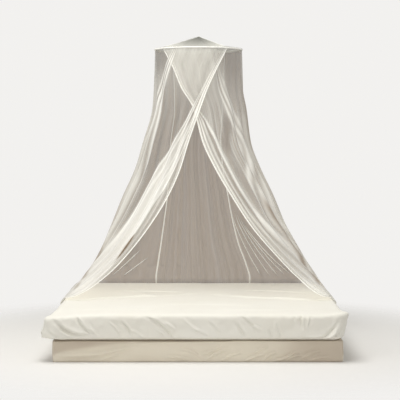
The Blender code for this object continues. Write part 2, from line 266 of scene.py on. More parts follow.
# The cover is darker in places, towards its second colour: as painted shade above a soft line at one end of
# each side, along its foot where it meets the floor and in the groove under the mattress; all of the other
# end of each side is darker too.
across_side = np.where(np.abs(out_y) > np.abs(out_x), -x * np.sign(out_y), (y - bed_y) * np.sign(out_x))
share_side = across_side / base_high.x
line = 0.045 + 0.085 * np.clip((share_side + 1.0) / 0.55, 0, 1) ** 0.6
painted_shade_top = 1 / (1 + np.exp(-(height - line) / 0.005)) * np.clip((0.05 - share_side) / 0.35, 0, 1)
far_end = 1 / (1 + np.exp(-(share_side - 0.62 - 0.6 * (height - 0.07)) / 0.05))
tone = 0.12 + 0.62 * np.maximum(painted_shade_top, far_end) + 0.22 * np.clip(0.02 - height, 0, 0.02) / 0.02
# Painted shade in the groove under the mattress, with a faint random cloud over the whole cover.
tone = tone + 0.10 * rumple(share_round, height / base_high.z, 26, 2, 8) + 0.8 * groove
base_cloth = woven_material("upholstery_cover", COVER_LIGHT, COVER_DARK, 0.0024, 0.0009, tone="tone")
bed_base = add_piece(
    "base_cover",
    points,
    grid_quads(points.shape[0], count, closed=True),
    base_cloth,
    caps=end_caps(points.shape[0], count),
    values={"tone": tone},
)
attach(bed_base, "root")
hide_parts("bed_base")

# ---------------------------------------------------------------------------------------------
# Mattress: a deep soft mattress in a cream cotton sheet. The sheet is tucked under all round, drawn
# into slanting creases on its sides, and stands off a little at the corners of the foot.

SHEET_CORNER = 0.110
SHEET_EDGE = 0.045
SHEET_TUCK = 0.046
SHEET_WALK = (330, 110, 22)

low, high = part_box("mattress")
side_height = np.concatenate(
    [np.linspace(low.z, low.z + 0.018, 7), np.linspace(low.z + 0.018, high.z - SHEET_EDGE, 19)[1:]]
)
side_inset = SHEET_TUCK * np.clip(1 - (side_height - low.z) / 0.016, 0, 1) ** 1.6
edge_turn = np.linspace(0, math.pi / 2, 14)[1:]
top_inset = SHEET_EDGE + (high.x - SHEET_EDGE - 0.03) * np.linspace(0, 1, 62)[1:] ** 1.15
ring_height = np.concatenate(
    [side_height, high.z - SHEET_EDGE + SHEET_EDGE * np.sin(edge_turn), 0 * top_inset + high.z]
)[:, None]
ring_inset = np.concatenate([side_inset, SHEET_EDGE * (1 - np.cos(edge_turn)), top_inset])[:, None]
x, y, out_x, out_y = ring(
    way_round(*SHEET_WALK),
    high.x - ring_inset,
    low.y + ring_inset,
    high.y - ring_inset,
    np.maximum(SHEET_CORNER - 0.6 * ring_inset, 0.012),
)
z = ring_height + 0 * x
# Towards the foot the sheet is drawn over a squarer edge: the rounding's sine and cosine are raised to a
# power below 1 there. The two corners of the foot swell out in plan.
from_foot = np.clip((y - low.y) / 0.55, 0, 1)
from_foot = 1 - from_foot * from_foot * (3 - 2 * from_foot)
angle = np.concatenate([0 * side_height, edge_turn, 0 * top_inset + math.pi / 2])[:, None]
cosine, squarer = np.maximum(np.cos(angle), 0), 1 - 0.34 * from_foot
square_out = SHEET_EDGE * (cosine**squarer - cosine)
square_up = SHEET_EDGE * (np.sin(angle) ** squarer - np.sin(angle))
x, y, z = x + out_x * square_out, y + out_y * square_out, z + square_up
square = 0.022 * np.clip(-2 * out_y * np.abs(out_x), 0, 1) * np.clip(1 - ring_inset / 0.25, 0, 1)
x, y = x + out_x * square, y + out_y * square
# The creases of the front, as in the cover's table, then those of the top as (x, y from the bed's middle).
FRONT_CREASES = (
    ((-0.925, 0.292), (-0.700, 0.172), -0.16, 0.012, -0.0095),
    ((-0.905, 0.262), (-0.800, 0.162), -0.12, 0.010, 0.0080),
    ((-0.950, 0.215), (-0.860, 0.158), -0.10, 0.008, -0.0050),
    ((-0.780, 0.292), (-0.675, 0.180), -0.10, 0.009, -0.0075),
    ((-0.700, 0.240), (-0.640, 0.170), -0.06, 0.007, 0.0040),
    ((-0.570, 0.250), (-0.495, 0.170), 0.08, 0.008, 0.0052),
    ((-0.497, 0.252), (-0.433, 0.166), 0.10, 0.008, -0.0058),
    ((-0.430, 0.205), (-0.350, 0.160), 0.05, 0.007, 0.0034),
    ((-0.335, 0.280), (-0.160, 0.150), 0.08, 0.009, -0.0070),
    ((-0.270, 0.205), (-0.215, 0.172), 0.05, 0.007, 0.0044),
    ((-0.220, 0.250), (-0.150, 0.205), 0.06, 0.008, 0.0034),
    ((-0.100, 0.275), (0.015, 0.195), -0.06, 0.010, 0.0040),
    ((-0.040, 0.200), (0.060, 0.160), 0.06, 0.007, -0.0030),
    ((0.060, 0.250), (0.130, 0.180), 0.06, 0.009, -0.0034),
    ((0.235, 0.245), (0.292, 0.160), 0.04, 0.009, -0.0060),
    ((0.265, 0.285), (0.372, 0.192), 0.05, 0.009, -0.0052),
    ((0.330, 0.225), (0.400, 0.200), 0.10, 0.008, 0.0036),
    ((0.440, 0.215), (0.468, 0.158), -0.04, 0.007, 0.0040),
    ((0.488, 0.245), (0.520, 0.160), -0.04, 0.008, 0.0050),
    ((0.600, 0.305), (0.612, 0.250), 0.06, 0.008, -0.0040),
    ((0.655, 0.300), (0.662, 0.205), -0.05, 0.008, -0.0060),
    ((0.700, 0.300), (0.695, 0.225), 0.05, 0.007, 0.0040),
    ((0.915, 0.262), (0.655, 0.156), 0.18, 0.011, -0.0100),
    ((0.935, 0.230), (0.720, 0.150), 0.15, 0.010, 0.0085),
    ((0.905, 0.215), (0.665, 0.166), 0.10, 0.008, 0.0046),
    ((0.930, 0.185), (0.800, 0.150), 0.10, 0.008, -0.0056),
)
TOP_CREASES = (
    ((-0.93, -0.19), (-0.30, 0.10), 0.06, 0.016, 0.0100),
    ((-0.45, 0.06), (0.02, 0.30), -0.04, 0.014, 0.0080),
    ((0.10, 0.26), (0.52, -0.02), -0.10, 0.015, 0.0080),
    ((0.46, -0.01), (0.93, -0.14), -0.02, 0.016, 0.0100),
    ((-0.62, 0.42), (-0.10, 0.36), 0.04, 0.014, -0.0050),
    ((0.30, 0.48), (0.80, 0.30), 0.05, 0.016, -0.0050),
    ((-0.86, -0.64), (-0.20, -0.70), 0.03, 0.026, 0.0040),
    ((0.10, -0.72), (0.84, -0.62), -0.03, 0.026, 0.0040),
    ((-0.30, -0.34), (0.40, -0.44), 0.05, 0.022, 0.0034),
)
push = np.zeros_like(x)
on_side_height = np.clip((high.z - z) / 0.02, 0, 1) * np.clip((z - low.z) / 0.02, 0, 1)
for start, end, bow, width, depth in FRONT_CREASES:
    push += 1.6 * np.clip(-out_y, 0, 1) ** 3 * crease(x, z, start, end, bow, 0.88 * width, depth)
    push += 0.8 * np.clip(out_y, 0, 1) ** 3 * crease(-x, z, start, end, bow, width, depth)
    for side in (-1, 1):
        on_side = np.clip(side * out_x, 0, 1) ** 3
        push += 0.8 * on_side * crease(side * (y - bed_y) * 0.95, z, start, end, bow, width, depth)
share_round = np.linspace(0, 1, x.shape[1], endpoint=False)[None, :] + 0 * x
push += 0.0026 * rumple(share_round, (z - low.z) / (high.z - low.z), 52, 2, 11)
push += 0.0018 * rumple(share_round, (z - low.z) / (high.z - low.z), 150, 5, 12)
push = push * on_side_height
# Where the net is tucked round the mattress it presses the creases flat.
pressed = np.clip((y - bed_y + 0.32) / 0.10, 0, 1)
push = push * (1 - pressed) + np.minimum(0.5 * push, 0) * pressed
# The corners of the foot: the left one stands out low down, the right one is drawn in below its edge.
down = np.clip((high.z - z) / (high.z - low.z), 0, 1)
left_corner = np.clip((-x / high.x - 0.80) / 0.20, 0, 1) ** 2
right_corner = np.clip((x / high.x - 0.80) / 0.20, 0, 1) ** 2
shift = -0.032 * from_foot * left_corner * np.clip(down / 0.72, 0, 1) ** 1.1
shift = shift * np.clip((1.03 - down) / 0.13, 0, 1)
shift = shift + from_foot * right_corner * (0.016 - 0.060 * down) - 0.006 * from_foot * left_corner
lift = np.zeros_like(x)
on_top = np.clip((z - high.z + SHEET_EDGE) / SHEET_EDGE, 0, 1) ** 2
for start, end, bow, width, depth in TOP_CREASES:
    lift += 1.5 * crease(x, y - bed_y, start, end, bow, width, depth)
lift += 0.0022 * rumple((x + 1) / 2, (y - bed_y + 1.1) / 2.2, 9, 9, 5)
lift = lift * on_top - 0.003 * on_top
near_right = np.exp(-(((x - high.x) / 0.12) ** 2) - ((y - low.y) / 0.20) ** 2) * (1 - down) ** 0.7
# The sheet's right corner stands up in a point, the left one is drawn outwards at its top, and the edge
# between them is crowned.
crown = 1 - np.clip((y - low.y) / 0.50, 0, 1)
crown = crown * crown * (3 - 2 * crown) * (1 - np.exp(-(((x + high.x) / 0.20) ** 2))) * (1 - down) ** 0.7
near_left = np.exp(-(((x + high.x) / 0.07) ** 2) - ((y - low.y) / 0.13) ** 2) * np.clip(1 - down / 0.5, 0, 1)
lift = lift + 0.014 * near_right + 0.015 * crown
shift = shift - 0.016 * near_right - 0.014 * near_left
points = np.stack([x + out_x * push + shift, y + out_y * push, z + lift], axis=-1)
count = x.shape[1]
sheeting = woven_material("cotton_sheet", (0.79, 0.765, 0.685), (0.84, 0.825, 0.765), 0.0016, 0.0005)
mattress = add_piece(
    "mattress_in_sheet",
    points,
    grid_quads(points.shape[0], count, closed=True),
    sheeting,
    caps=end_caps(points.shape[0], count),
)
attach(mattress, "root")
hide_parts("mattress")

# ---------------------------------------------------------------------------------------------
# Hoop: a thin white-painted steel rod bent to a ring, in a sleeve of white woven tape that is folded
# round it and sewn, so the sleeve puckers finely along its edge.

HOOP_RADIUS = 0.325
ROD = 0.004
SLEEVE_IN, SLEEVE_OUT = 0.0043, 0.0058
HOOP_STEPS = 480

hoop_low, hoop_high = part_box("hoop")
hoop_y = (hoop_low.y + hoop_high.y) / 2
hoop_z = (hoop_low.z + hoop_high.z) / 2


def swept_ring(out, up):
    """A closed profile of outward and upward offsets, one row for each step, carried round the hoop."""
    turn = np.arange(HOOP_STEPS)[:, None] * 2 * math.pi / HOOP_STEPS
    radius = HOOP_RADIUS + out
    return np.stack([radius * np.cos(turn), hoop_y + radius * np.sin(turn), hoop_z + up + 0 * turn], axis=-1)


def ring_quads(columns):
    """The quads of a profile swept all the way round, its points anticlockwise as (outward, upward)."""
    i = np.arange(HOOP_STEPS)[:, None]
    j = np.arange(columns)[None, :]
    after, onward = (j + 1) % columns, (i + 1) % HOOP_STEPS
    quads = [i * columns + j, onward * columns + j, onward * columns + after, i * columns + after]
    return np.stack(np.broadcast_arrays(*quads), axis=-1).reshape(-1, 4)[:, ::-1]


steel, link, shader, node = new_material("painted_rod", 0.35)
shader.inputs["Base Color"].default_value = (0.80, 0.79, 0.74, 1)
speck = node("ShaderNodeTexNoise", Scale=60.0, Detail=2.0)
rod_place = node("ShaderNodeTexCoord")
link(rod_place.outputs["Object"], speck.inputs["Vector"])
spread = node("ShaderNodeMapRange")
spread.inputs["To Min"].default_value = 0.28
spread.inputs["To Max"].default_value = 0.45
link(speck.outputs["Fac"], spread.inputs["Value"])
link(spread.outputs["Result"], shader.inputs["Roughness"])
turn = np.arange(14)[None, :] * 2 * math.pi / 14
rod = add_piece("hoop_rod", swept_ring(ROD * np.cos(turn), ROD * np.sin(turn)), ring_quads(14), steel)
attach(rod, "root")
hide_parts("hoop")

# The sleeve's section: round outside, the rod's bore inside, open along a slot that faces inwards.
opening = math.radians(24)
arc = np.linspace(math.pi + opening, 3 * math.pi - opening, 19)[None, :]
place_round = np.arange(HOOP_STEPS)[:, None] / HOOP_STEPS
pucker = 0.00035 * np.sin(place_round * 2 * math.pi * 120)
pucker = pucker + 0.0004 * rumple(place_round, 0 * place_round, 60, 1, 21)
outer = SLEEVE_OUT + pucker + 0 * arc
out = np.concatenate([outer * np.cos(arc), SLEEVE_IN * np.cos(arc[:, ::-1]) + 0 * outer], axis=1)
up = np.concatenate([1.06 * outer * np.sin(arc), SLEEVE_IN * np.sin(arc[:, ::-1]) + 0 * outer], axis=1)


def tape_material(name, colour, shade):
    """White twill tape: two near whites in a fine cloud, and a slanting rib as bump."""
    material, link, shader, node = new_material(name, 0.8, 0.1)
    place = node("ShaderNodeTexCoord")
    cloud = node("ShaderNodeTexNoise", Scale=45.0, Detail=3.0)
    tint = node("ShaderNodeMix", data_type="RGBA")
    tint.inputs["A"].default_value = (*colour, 1)
    tint.inputs["B"].default_value = (*shade, 1)
    rib = node("ShaderNodeTexWave", bands_direction="DIAGONAL", Scale=180.0, Distortion=0.6)
    bump = node("ShaderNodeBump", Strength=0.4, Distance=0.0004)
    link(place.outputs["Object"], cloud.inputs["Vector"])
    link(place.outputs["Object"], rib.inputs["Vector"])
    link(cloud.outputs["Fac"], tint.inputs["Factor"])
    link(tint.outputs["Result"], shader.inputs["Base Color"])
    link(rib.outputs["Fac"], bump.inputs["Height"])
    link(bump.outputs["Normal"], shader.inputs["Normal"])
    return material


white_tape = tape_material("white_tape", (0.90, 0.89, 0.83), (0.95, 0.94, 0.90))
sleeve = add_piece("hoop_sleeve_tape", swept_ring(out, up), ring_quads(out.shape[1]), white_tape)
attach(sleeve, "root")
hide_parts("hoop_sleeve")

# ---------------------------------------------------------------------------------------------
# Roof: four gores of the same net, seamed along four ridges that rise to the point it hangs from.
# Each slopes down to the chord between two ridges, then lies level out to the hoop.

ROOF_RISE = 0.094
RIDGE_TURN = math.radians(-6.65)
PEAK_HOLE = 0.0012
GORE_ACROSS, GORE_DOWN = 96, 84
GORE_SAG = 0.006
RIDGE_WIDTH = 0.0045

# The net's lit colours, then its shaded colours, which are painted shade: a deep taupe for the backs and
# folds of the walls, and near black for the roof's peak.
SHEER_NET = (0.68, 0.665, 0.60)
GATHERED_NET = (0.86, 0.85, 0.805)
SHADED_NET = (0.285, 0.222, 0.163)
ROOF_SHADED = (0.075, 0.075, 0.062)


def net_material(name, sheer, gathered, shaded):
    """Fine knitted net: the more thread in sight, by its cover, the more opaque and the lighter it is.

    Cover is the share of threads, and shade is painted shade: how far the colour is drawn towards the shaded
    colour. A fine unevenness of the knit runs over the cloth's own map and lifts its threads as bump.
    """
    material, link, shader, node = new_material(name, 0.9, 0.2)
    cover = node("ShaderNodeAttribute", attribute_name="cover")
    shade = node("ShaderNodeAttribute", attribute_name="shade")
    place = node("ShaderNodeUVMap", uv_map="cloth")
    stretch = node("ShaderNodeMapping")
    stretch.inputs["Scale"].default_value = (420.0, 9.0, 1.0)
    strand = node("ShaderNodeTexNoise", Scale=1.0, Detail=2.0, Roughness=0.6)
    knit = node("ShaderNodeTexVoronoi", Scale=420.0)
    light = node("ShaderNodeMix", data_type="RGBA")
    light.inputs["A"].default_value = (*sheer, 1)
    light.inputs["B"].default_value = (*gathered, 1)
    # Painted shade: the shade attribute draws the colour towards the shaded colour.
    painted_darkening = node("ShaderNodeMix", data_type="RGBA", clamp_factor=False)
    painted_darkening.inputs["B"].default_value = (*shaded, 1)
    uneven = node("ShaderNodeMapRange")
    uneven.inputs["To Min"].default_value = 0.80
    uneven.inputs["To Max"].default_value = 1.20
    opacity = node("ShaderNodeMath", operation="MULTIPLY", use_clamp=True)
    height = node("ShaderNodeMath", operation="ADD")
    bump = node("ShaderNodeBump", Strength=0.25, Distance=0.0006)
    link(place.outputs["UV"], stretch.inputs["Vector"])
    link(stretch.outputs["Vector"], strand.inputs["Vector"])
    link(place.outputs["UV"], knit.inputs["Vector"])
    link(cover.outputs["Fac"], light.inputs["Factor"])
    link(light.outputs["Result"], painted_darkening.inputs["A"])
    link(shade.outputs["Fac"], painted_darkening.inputs["Factor"])
    link(painted_darkening.outputs["Result"], shader.inputs["Base Color"])
    link(strand.outputs["Fac"], uneven.inputs["Value"])
    link(cover.outputs["Fac"], opacity.inputs[0])
    link(uneven.outputs["Result"], opacity.inputs[1])
    link(opacity.outputs[0], shader.inputs["Alpha"])
    link(strand.outputs["Fac"], height.inputs[0])
    link(knit.outputs["Distance"], height.inputs[1])
    link(height.outputs[0], bump.inputs["Height"])
    link(bump.outputs["Normal"], shader.inputs["Normal"])
    return material


netting = net_material("netting_net", SHEER_NET, GATHERED_NET, SHADED_NET)
# Painted shade: the roof's net is a darker copy of the walls' net.
shaded_roof_netting = net_material("netting_roof_shaded", (0.50, 0.495, 0.445), (0.61, 0.605, 0.555), ROOF_SHADED)


def roof_height(ahead, aside):
    """The roof's rise: straight from the peak to the chord, then level, less a sag between its ridges."""
    chord = HOOP_RADIUS * math.cos(math.pi / 4)
    soft = 0.018
    left = 1 - ahead / chord
    slope = ROOF_RISE * (left + np.sqrt(left**2 + (soft / chord) ** 2)) / 2
    between = np.clip(1 - (aside / np.maximum(ahead, 1e-4)) ** 2, 0, 1)
    return slope - GORE_SAG * between * np.clip(4 * (ahead / chord) * (1 - ahead / chord), 0, 1)


spread = np.linspace(-math.pi / 4, math.pi / 4, GORE_ACROSS)[None, :]
out = np.linspace(0, 1, GORE_DOWN)[:, None]
radius = PEAK_HOLE + (HOOP_RADIUS + ROD - PEAK_HOLE) * out
ahead, aside = radius * np.cos(spread), radius * np.sin(spread)
roof_level = hoop_z + ROD + 0.0021
for gore, degrees in (("front", 0), ("right", 90), ("back", 180), ("left", 270)):
    facing = RIDGE_TURN + math.radians(degrees)
    toward = (math.sin(facing), -math.cos(facing))
    across = (math.cos(facing), math.sin(facing))
    rise = roof_height(ahead, aside)
    if gore == "front":
        rise = rise + crease(aside, ahead, (0.004, 0.008), (0.150, 0.232), 0.04, 0.006, 0.0075)
    rise = rise + 0.0012 * rumple((spread / math.pi * 2 + 1) / 2 + 0 * out, out + 0 * spread, 7, 4, degrees)
    points = np.stack(
        [
            ahead * toward[0] + aside * across[0],
            hoop_y + ahead * toward[1] + aside * across[1],
            roof_level + rise,
        ],
        axis=-1,
    )
    near_ridge = np.abs(spread) > math.pi / 4 - RIDGE_WIDTH / np.maximum(radius, RIDGE_WIDTH * 1.3)
    cover = 0.80 + 0.06 * rumple(out + 0 * spread, spread + 0.5 + 0 * out, 5, 60, degrees + 1)
    cover = np.where(near_ridge | (radius < 0.006), 0.97, cover)
    # Painted shade: each gore is darkened towards the peak, less on its ridges.
    painted_peak_shade = 0.95 * np.clip(1 - out / 0.86, 0, 1) ** 0.75 + 0 * spread
    piece = add_piece(
        "roof_net_" + gore,
        points,
        grid_quads(GORE_DOWN, GORE_ACROSS)[:, ::-1],
        shaded_roof_netting,
        uv=np.stack([aside, ahead], axis=-1),
        values={"cover": cover, "shade": np.where(near_ridge, 0.08 + 0.3 * painted_peak_shade, painted_peak_shade)},
    )
    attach(piece, "root")
    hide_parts("roof_gore_" + gore)

# ---------------------------------------------------------------------------------------------
# Side walls: two wide panels of net, sewn to the hoop's sleeve and hemmed, that overlap in front and are
# drawn to the sides of the bed, so each hangs in folds that lean towards its own side.
#
# The columns of the sections are lengths in metres, but for gather and lift. Gather is the power that
# spreads the cloth towards the free edge, and says nothing of how full it is at the hoop. Lift is how much
# of the folds' depth stands outwards only.

SECTION_COLUMNS = (
    "height", "left", "right", "front", "back", "corner", "edge_left", "edge_right",
    "seam_left", "seam_right", "gather", "fold", "lift", "parted",
)
SECTIONS = np.array((
    (2.0839, 0.325, 0.325, 0.260, 0.910, 0.325, -0.217, -0.293, 0.217, 0.217, 1.00, 0.0004, 0.0, 0.0022),
    (1.960, 0.326, 0.326, 0.260, 0.910, 0.325, -0.141, -0.205, 0.208, 0.210, 1.08, 0.0040, 0.0, 0.0070),
    (1.800, 0.328, 0.327, 0.254, 0.911, 0.327, -0.062, -0.129, 0.198, 0.201, 1.22, 0.0080, 0.0, 0.0125),
    (1.650, 0.338, 0.352, 0.240, 0.914, 0.335, -0.008, -0.033, 0.195, 0.192, 1.40, 0.0105, 0.0, 0.0155),
    (1.400, 0.405, 0.384, 0.200, 0.925, 0.360, 0.078, 0.038, 0.222, 0.176, 1.55, 0.0150, 0.0, 0.0140),
    (1.200, 0.461, 0.459, 0.155, 0.938, 0.375, 0.140, 0.134, 0.231, 0.190, 1.62, 0.0180, 0.0, 0.0090),
    (1.000, 0.548, 0.550, 0.100, 0.952, 0.375, 0.232, 0.253, 0.240, 0.225, 1.75, 0.0190, 0.0, 0.0030),
    (0.800, 0.629, 0.632, 0.035, 0.966, 0.360, 0.359, 0.385, 0.264, 0.262, 1.92, 0.0190, 0.0, 0.0),
    (0.600, 0.714, 0.738, -0.045, 0.980, 0.320, 0.518, 0.560, 0.292, 0.312, 2.05, 0.0170, 0.1, 0.0),
    (0.450, 0.806, 0.832, -0.115, 0.985, 0.260, 0.672, 0.709, 0.315, 0.368, 1.95, 0.0130, 0.4, 0.0),
    (0.330, 0.905, 0.915, -0.205, 0.988, 0.140, 0.871, 0.873, 0.330, 0.400, 1.80, 0.0070, 1.0, 0.0),
    (0.300, 0.948, 0.949, -0.235, 1.000, 0.100, 1.030, 1.060, 0.330, 0.400, 1.75, 0.0045, 1.0, 0.0),
    (0.270, 0.9685, 0.9685, -0.250, 1.0185, 0.085, 1.090, 1.100, 0.330, 0.400, 1.75, 0.0045, 1.0, 0.0),
    (0.220, 0.9666, 0.9666, -0.250, 1.0166, 0.085, 1.120, 1.125, 0.330, 0.400, 1.72, 0.0055, 1.0, 0.0),
    (0.160, 0.9720, 0.9720, -0.250, 1.0220, 0.085, 1.150, 1.150, 0.330, 0.400, 1.70, 0.0070, 1.0, 0.0),
    (0.025, 0.9760, 0.9760, -0.250, 1.0260, 0.085, 1.190, 1.180, 0.330, 0.400, 1.65, 0.0085, 1.0, 0.0),
))
NET_TOP, NET_FOOT = SECTIONS[0, 0], SECTIONS[-1, 0]
HEM = 0.022
WALL_WIDTH, WALL_DROP = 1.90, 2.35
LEFT_FOLDS = (
    (1.0, 1.0), (1.1, 0.8), (1.2, 1.2), (1.0, 0.9), (1.2, 1.1), (1.0, 0.7),
    (1.1, 1.2), (0.8, 0.9), (0.9, 1.0), (0.7, 0.8), (0.8, 0.9),
)
RIGHT_FOLDS = (
    (1.1, 0.9), (1.0, 1.1), (1.1, 0.8), (1.3, 1.2), (1.0, 0.9), (1.1, 1.1),
    (0.9, 0.8), (1.0, 1.0), (0.8, 1.2), (0.8, 0.9), (0.7, 0.9),
)
STEEPEST_FOLD = 0.42
PARTED_FADES = (0.50, 0.72)

# Where each wall's cloth is bunched, as shares of the way from its free edge to its back seam: a thin strip
# along the edge, a bundle of folds beside it, and a second, narrower bundle further round. Then how thickly
# the threads lie in each, and between and beyond them.
BUNCH_COLUMNS = (
    "height", "strip", "bundle", "second", "reach", "in_strip", "in_bundle", "in_second", "between", "beyond",
)
LEFT_BUNCHES = np.array((
    (2.084, 0.000, 0.016, 0.386, 0.016, 0.70, 0.66, 0.36, 0.36, 0.14),
    (1.987, 0.000, 0.030, 0.416, 0.026, 0.70, 0.70, 0.76, 0.30, 0.16),
    (1.816, 0.001, 0.060, 0.468, 0.040, 0.70, 0.80, 0.78, 0.24, 0.46),
    (1.651, 0.002, 0.135, 0.528, 0.050, 0.70, 0.80, 0.80, 0.15, 0.50),
    (1.408, 0.050, 0.241, 0.542, 0.074, 0.60, 0.80, 0.62, 0.10, 0.46),
    (1.240, 0.100, 0.324, 0.536, 0.088, 0.52, 0.82, 0.62, 0.11, 0.40),
    (1.090, 0.150, 0.370, 0.520, 0.098, 0.48, 0.88, 0.64, 0.14, 0.36),
    (0.920, 0.200, 0.385, 0.525, 0.098, 0.46, 0.91, 0.68, 0.22, 0.34),
    (0.775, 0.205, 0.400, 0.535, 0.095, 0.46, 0.92, 0.78, 0.40, 0.32),
    (0.575, 0.185, 0.440, 0.550, 0.110, 0.55, 0.94, 0.93, 0.86, 0.30),
    (0.455, 0.130, 0.480, 0.540, 0.140, 0.70, 0.92, 0.91, 0.88, 0.42),
    (0.330, 0.060, 0.520, 0.540, 0.150, 0.76, 0.88, 0.88, 0.85, 0.50),
    (0.025, 0.020, 0.400, 0.520, 0.150, 0.80, 0.84, 0.80, 0.70, 0.50),
))
RIGHT_BUNCHES = np.array((
    (2.084, 0.000, 0.016, 0.357, 0.012, 0.70, 0.66, 0.40, 0.50, 0.10),
    (1.932, 0.000, 0.026, 0.371, 0.020, 0.70, 0.70, 0.60, 0.48, 0.13),
    (1.802, 0.001, 0.040, 0.405, 0.036, 0.70, 0.74, 0.68, 0.42, 0.26),
    (1.650, 0.001, 0.075, 0.440, 0.044, 0.70, 0.76, 0.74, 0.38, 0.30),
    (1.552, 0.001, 0.170, 0.472, 0.050, 0.70, 0.76, 0.72, 0.40, 0.46),
    (1.367, 0.001, 0.260, 0.538, 0.060, 0.72, 0.72, 0.66, 0.34, 0.46),
    (1.092, 0.001, 0.255, 0.456, 0.088, 0.72, 0.66, 0.56, 0.22, 0.28),
    (0.966, 0.001, 0.268, 0.434, 0.088, 0.70, 0.62, 0.54, 0.28, 0.28),
    (0.863, 0.001, 0.300, 0.422, 0.088, 0.66, 0.58, 0.53, 0.42, 0.28),
    (0.600, 0.001, 0.400, 0.500, 0.110, 0.66, 0.62, 0.58, 0.56, 0.34),
    (0.455, 0.001, 0.420, 0.470, 0.080, 0.70, 0.67, 0.65, 0.63, 0.40),
    (0.330, 0.001, 0.430, 0.460, 0.080, 0.78, 0.76, 0.74, 0.72, 0.46),
    (0.025, 0.001, 0.360, 0.460, 0.120, 0.84, 0.84, 0.80, 0.70, 0.50),
))


def along_curve(x, y, at):
    """A column of a table at any height, on a cubic curve that never swings past its rows."""
    step = np.diff(x)
    slope = np.diff(y) / step
    product = slope[:-1] * slope[1:]
    mean = 2 * product / np.where(product > 0, slope[:-1] + slope[1:], 1)
    lean = np.concatenate([slope[:1], np.where(product > 0, mean, 0), slope[-1:]])
    i = np.clip(np.searchsorted(x, at) - 1, 0, len(step) - 1)
    t = np.clip((at - x[i]) / step[i], 0, 1)
    return (
        y[i] * (1 + 2 * t) * (1 - t) ** 2
        + y[i + 1] * t * t * (3 - 2 * t)
        + step[i] * t * (1 - t) * (lean[i] * (1 - t) - lean[i + 1] * t)
    )


def section_value(column, heights):
    """One of the sections' columns at any height."""
    return along_curve(SECTIONS[::-1, 0], SECTIONS[::-1, SECTION_COLUMNS.index(column)], heights)


def bunch_value(bunches, column, heights):
    """One of a wall's bunching columns at any height."""
    return along_curve(bunches[::-1, 0], bunches[::-1, BUNCH_COLUMNS.index(column)], heights)


def half_round(heights, side):
    """How long each section is from the middle of the front, round one side, to the middle of the back."""
    half = section_value("left" if side < 0 else "right", heights)
    depth = section_value("back", heights) - section_value("front", heights)
    corner = section_value("corner", heights)
    return 2 * (half - corner) + depth - 2 * corner + math.pi * corner


def outline(distance, heights):
    """The point and the level outward direction at a distance round each section, which is a rectangle with
    round corners: straight, a quarter turn, along the side, a quarter turn, and back along the head."""
    side = np.where(distance < 0, -1.0, 1.0)
    half = np.where(side < 0, section_value("left", heights), section_value("right", heights))
    front, back = section_value("front", heights), section_value("back", heights)
    corner = section_value("corner", heights)
    run, quarter, beside = half - corner, corner * math.pi / 2, back - front - 2 * corner
    d = np.abs(distance)
    first = np.clip((d - run) / corner, 0, math.pi / 2)
    second = np.clip((d - run - quarter - beside) / corner, 0, math.pi / 2)
    x = np.minimum(d, run) + corner * np.sin(first) - corner * (1 - np.cos(second))
    x = x - np.maximum(d - run - 2 * quarter - beside, 0)
    y = front + corner * (1 - np.cos(first)) + np.clip(d - run - quarter, 0, beside) + corner * np.sin(second)
    turned = first + second
    point = np.stack([side * x, bed_y + y, heights + 0 * d], axis=-1)
    return point, np.stack([side * np.sin(turned), -np.cos(turned), 0 * turned], axis=-1)


def fold_waves(share, folds):
    """Each column's place, counted in folds, and the depth of the fold it is in."""
    widths, depths = np.array(folds).T
    ends = np.concatenate([[0], np.cumsum(widths)]) / widths.sum()
    place = np.interp(share, ends, np.arange(len(ends)))
    return place, np.interp(place, np.arange(len(folds)) + 0.5, depths)


def fold_depth(distance, place, heights, depth):
    """How deep a fold is: as its row says, but never steeper than STEEPEST_FOLD across its own width."""
    pitch = np.abs(np.gradient(distance, axis=1) / np.gradient(place))
    deepest = section_value("fold", heights) * depth
    return deepest / (1 + deepest / (STEEPEST_FOLD * pitch + 1e-6))


def smooth_step(value, start, end):
    """0 before start, 1 after end, and a soft rise between them."""
    t = np.clip((value - start) / np.where(np.abs(end - start) < 1e-9, 1e-9, end - start), 0, 1)
    return t * t * (3 - 2 * t)


def wall_heights(count):
    """Levels from the hoop to the hem, closest where the net turns over the mattress's edge."""
    marks = np.array((NET_TOP, 1.5, 0.9, 0.50, 0.36, 0.24, 0.12, NET_FOOT))
    places = np.array((0, 0.22, 0.46, 0.64, 0.75, 0.88, 0.95, 1.0))
    return np.interp(np.linspace(0, 1, count), places, marks)


WALL_ROWS, WALL_COLUMNS = 150, 660
heights = wall_heights(WALL_ROWS)[:, None]
drop = (NET_TOP - heights) / (NET_TOP - NET_FOOT)
share = np.linspace(0, 1, WALL_COLUMNS)[None, :] ** 1.25

# The sharpest folds of a wall's first and second bundle: the place across the bundle, from 0 to 1 or from
# -1 to 1, then half the fold's width in the same units and how strongly it stands out. Below 0 it is the gap
# between two folds.
LEFT_CRESTS = (
    (
        (0.04, 0.055, 0.9), (0.17, 0.040, -0.4), (0.32, 0.050, 0.8), (0.46, 0.040, 0.5), (0.58, 0.065, -1.4),
        (0.74, 0.050, 0.9), (0.95, 0.060, 1.0),
    ),
    ((-0.80, 0.20, 0.8), (-0.36, 0.15, -0.7), (0.06, 0.20, 0.8), (0.46, 0.14, -0.7), (0.86, 0.18, 0.8)),
)
RIGHT_CRESTS = (
    (
        (0.07, 0.055, 1.1), (0.20, 0.045, -0.8), (0.34, 0.050, 1.0), (0.48, 0.050, -0.9), (0.62, 0.050, 0.9),
        (0.77, 0.045, -0.8), (0.93, 0.060, 1.1),
    ),
    ((-0.84, 0.18, 0.9), (-0.44, 0.15, -0.6), (-0.02, 0.18, 0.6), (0.42, 0.15, -0.6), (0.84, 0.18, 0.8)),
)

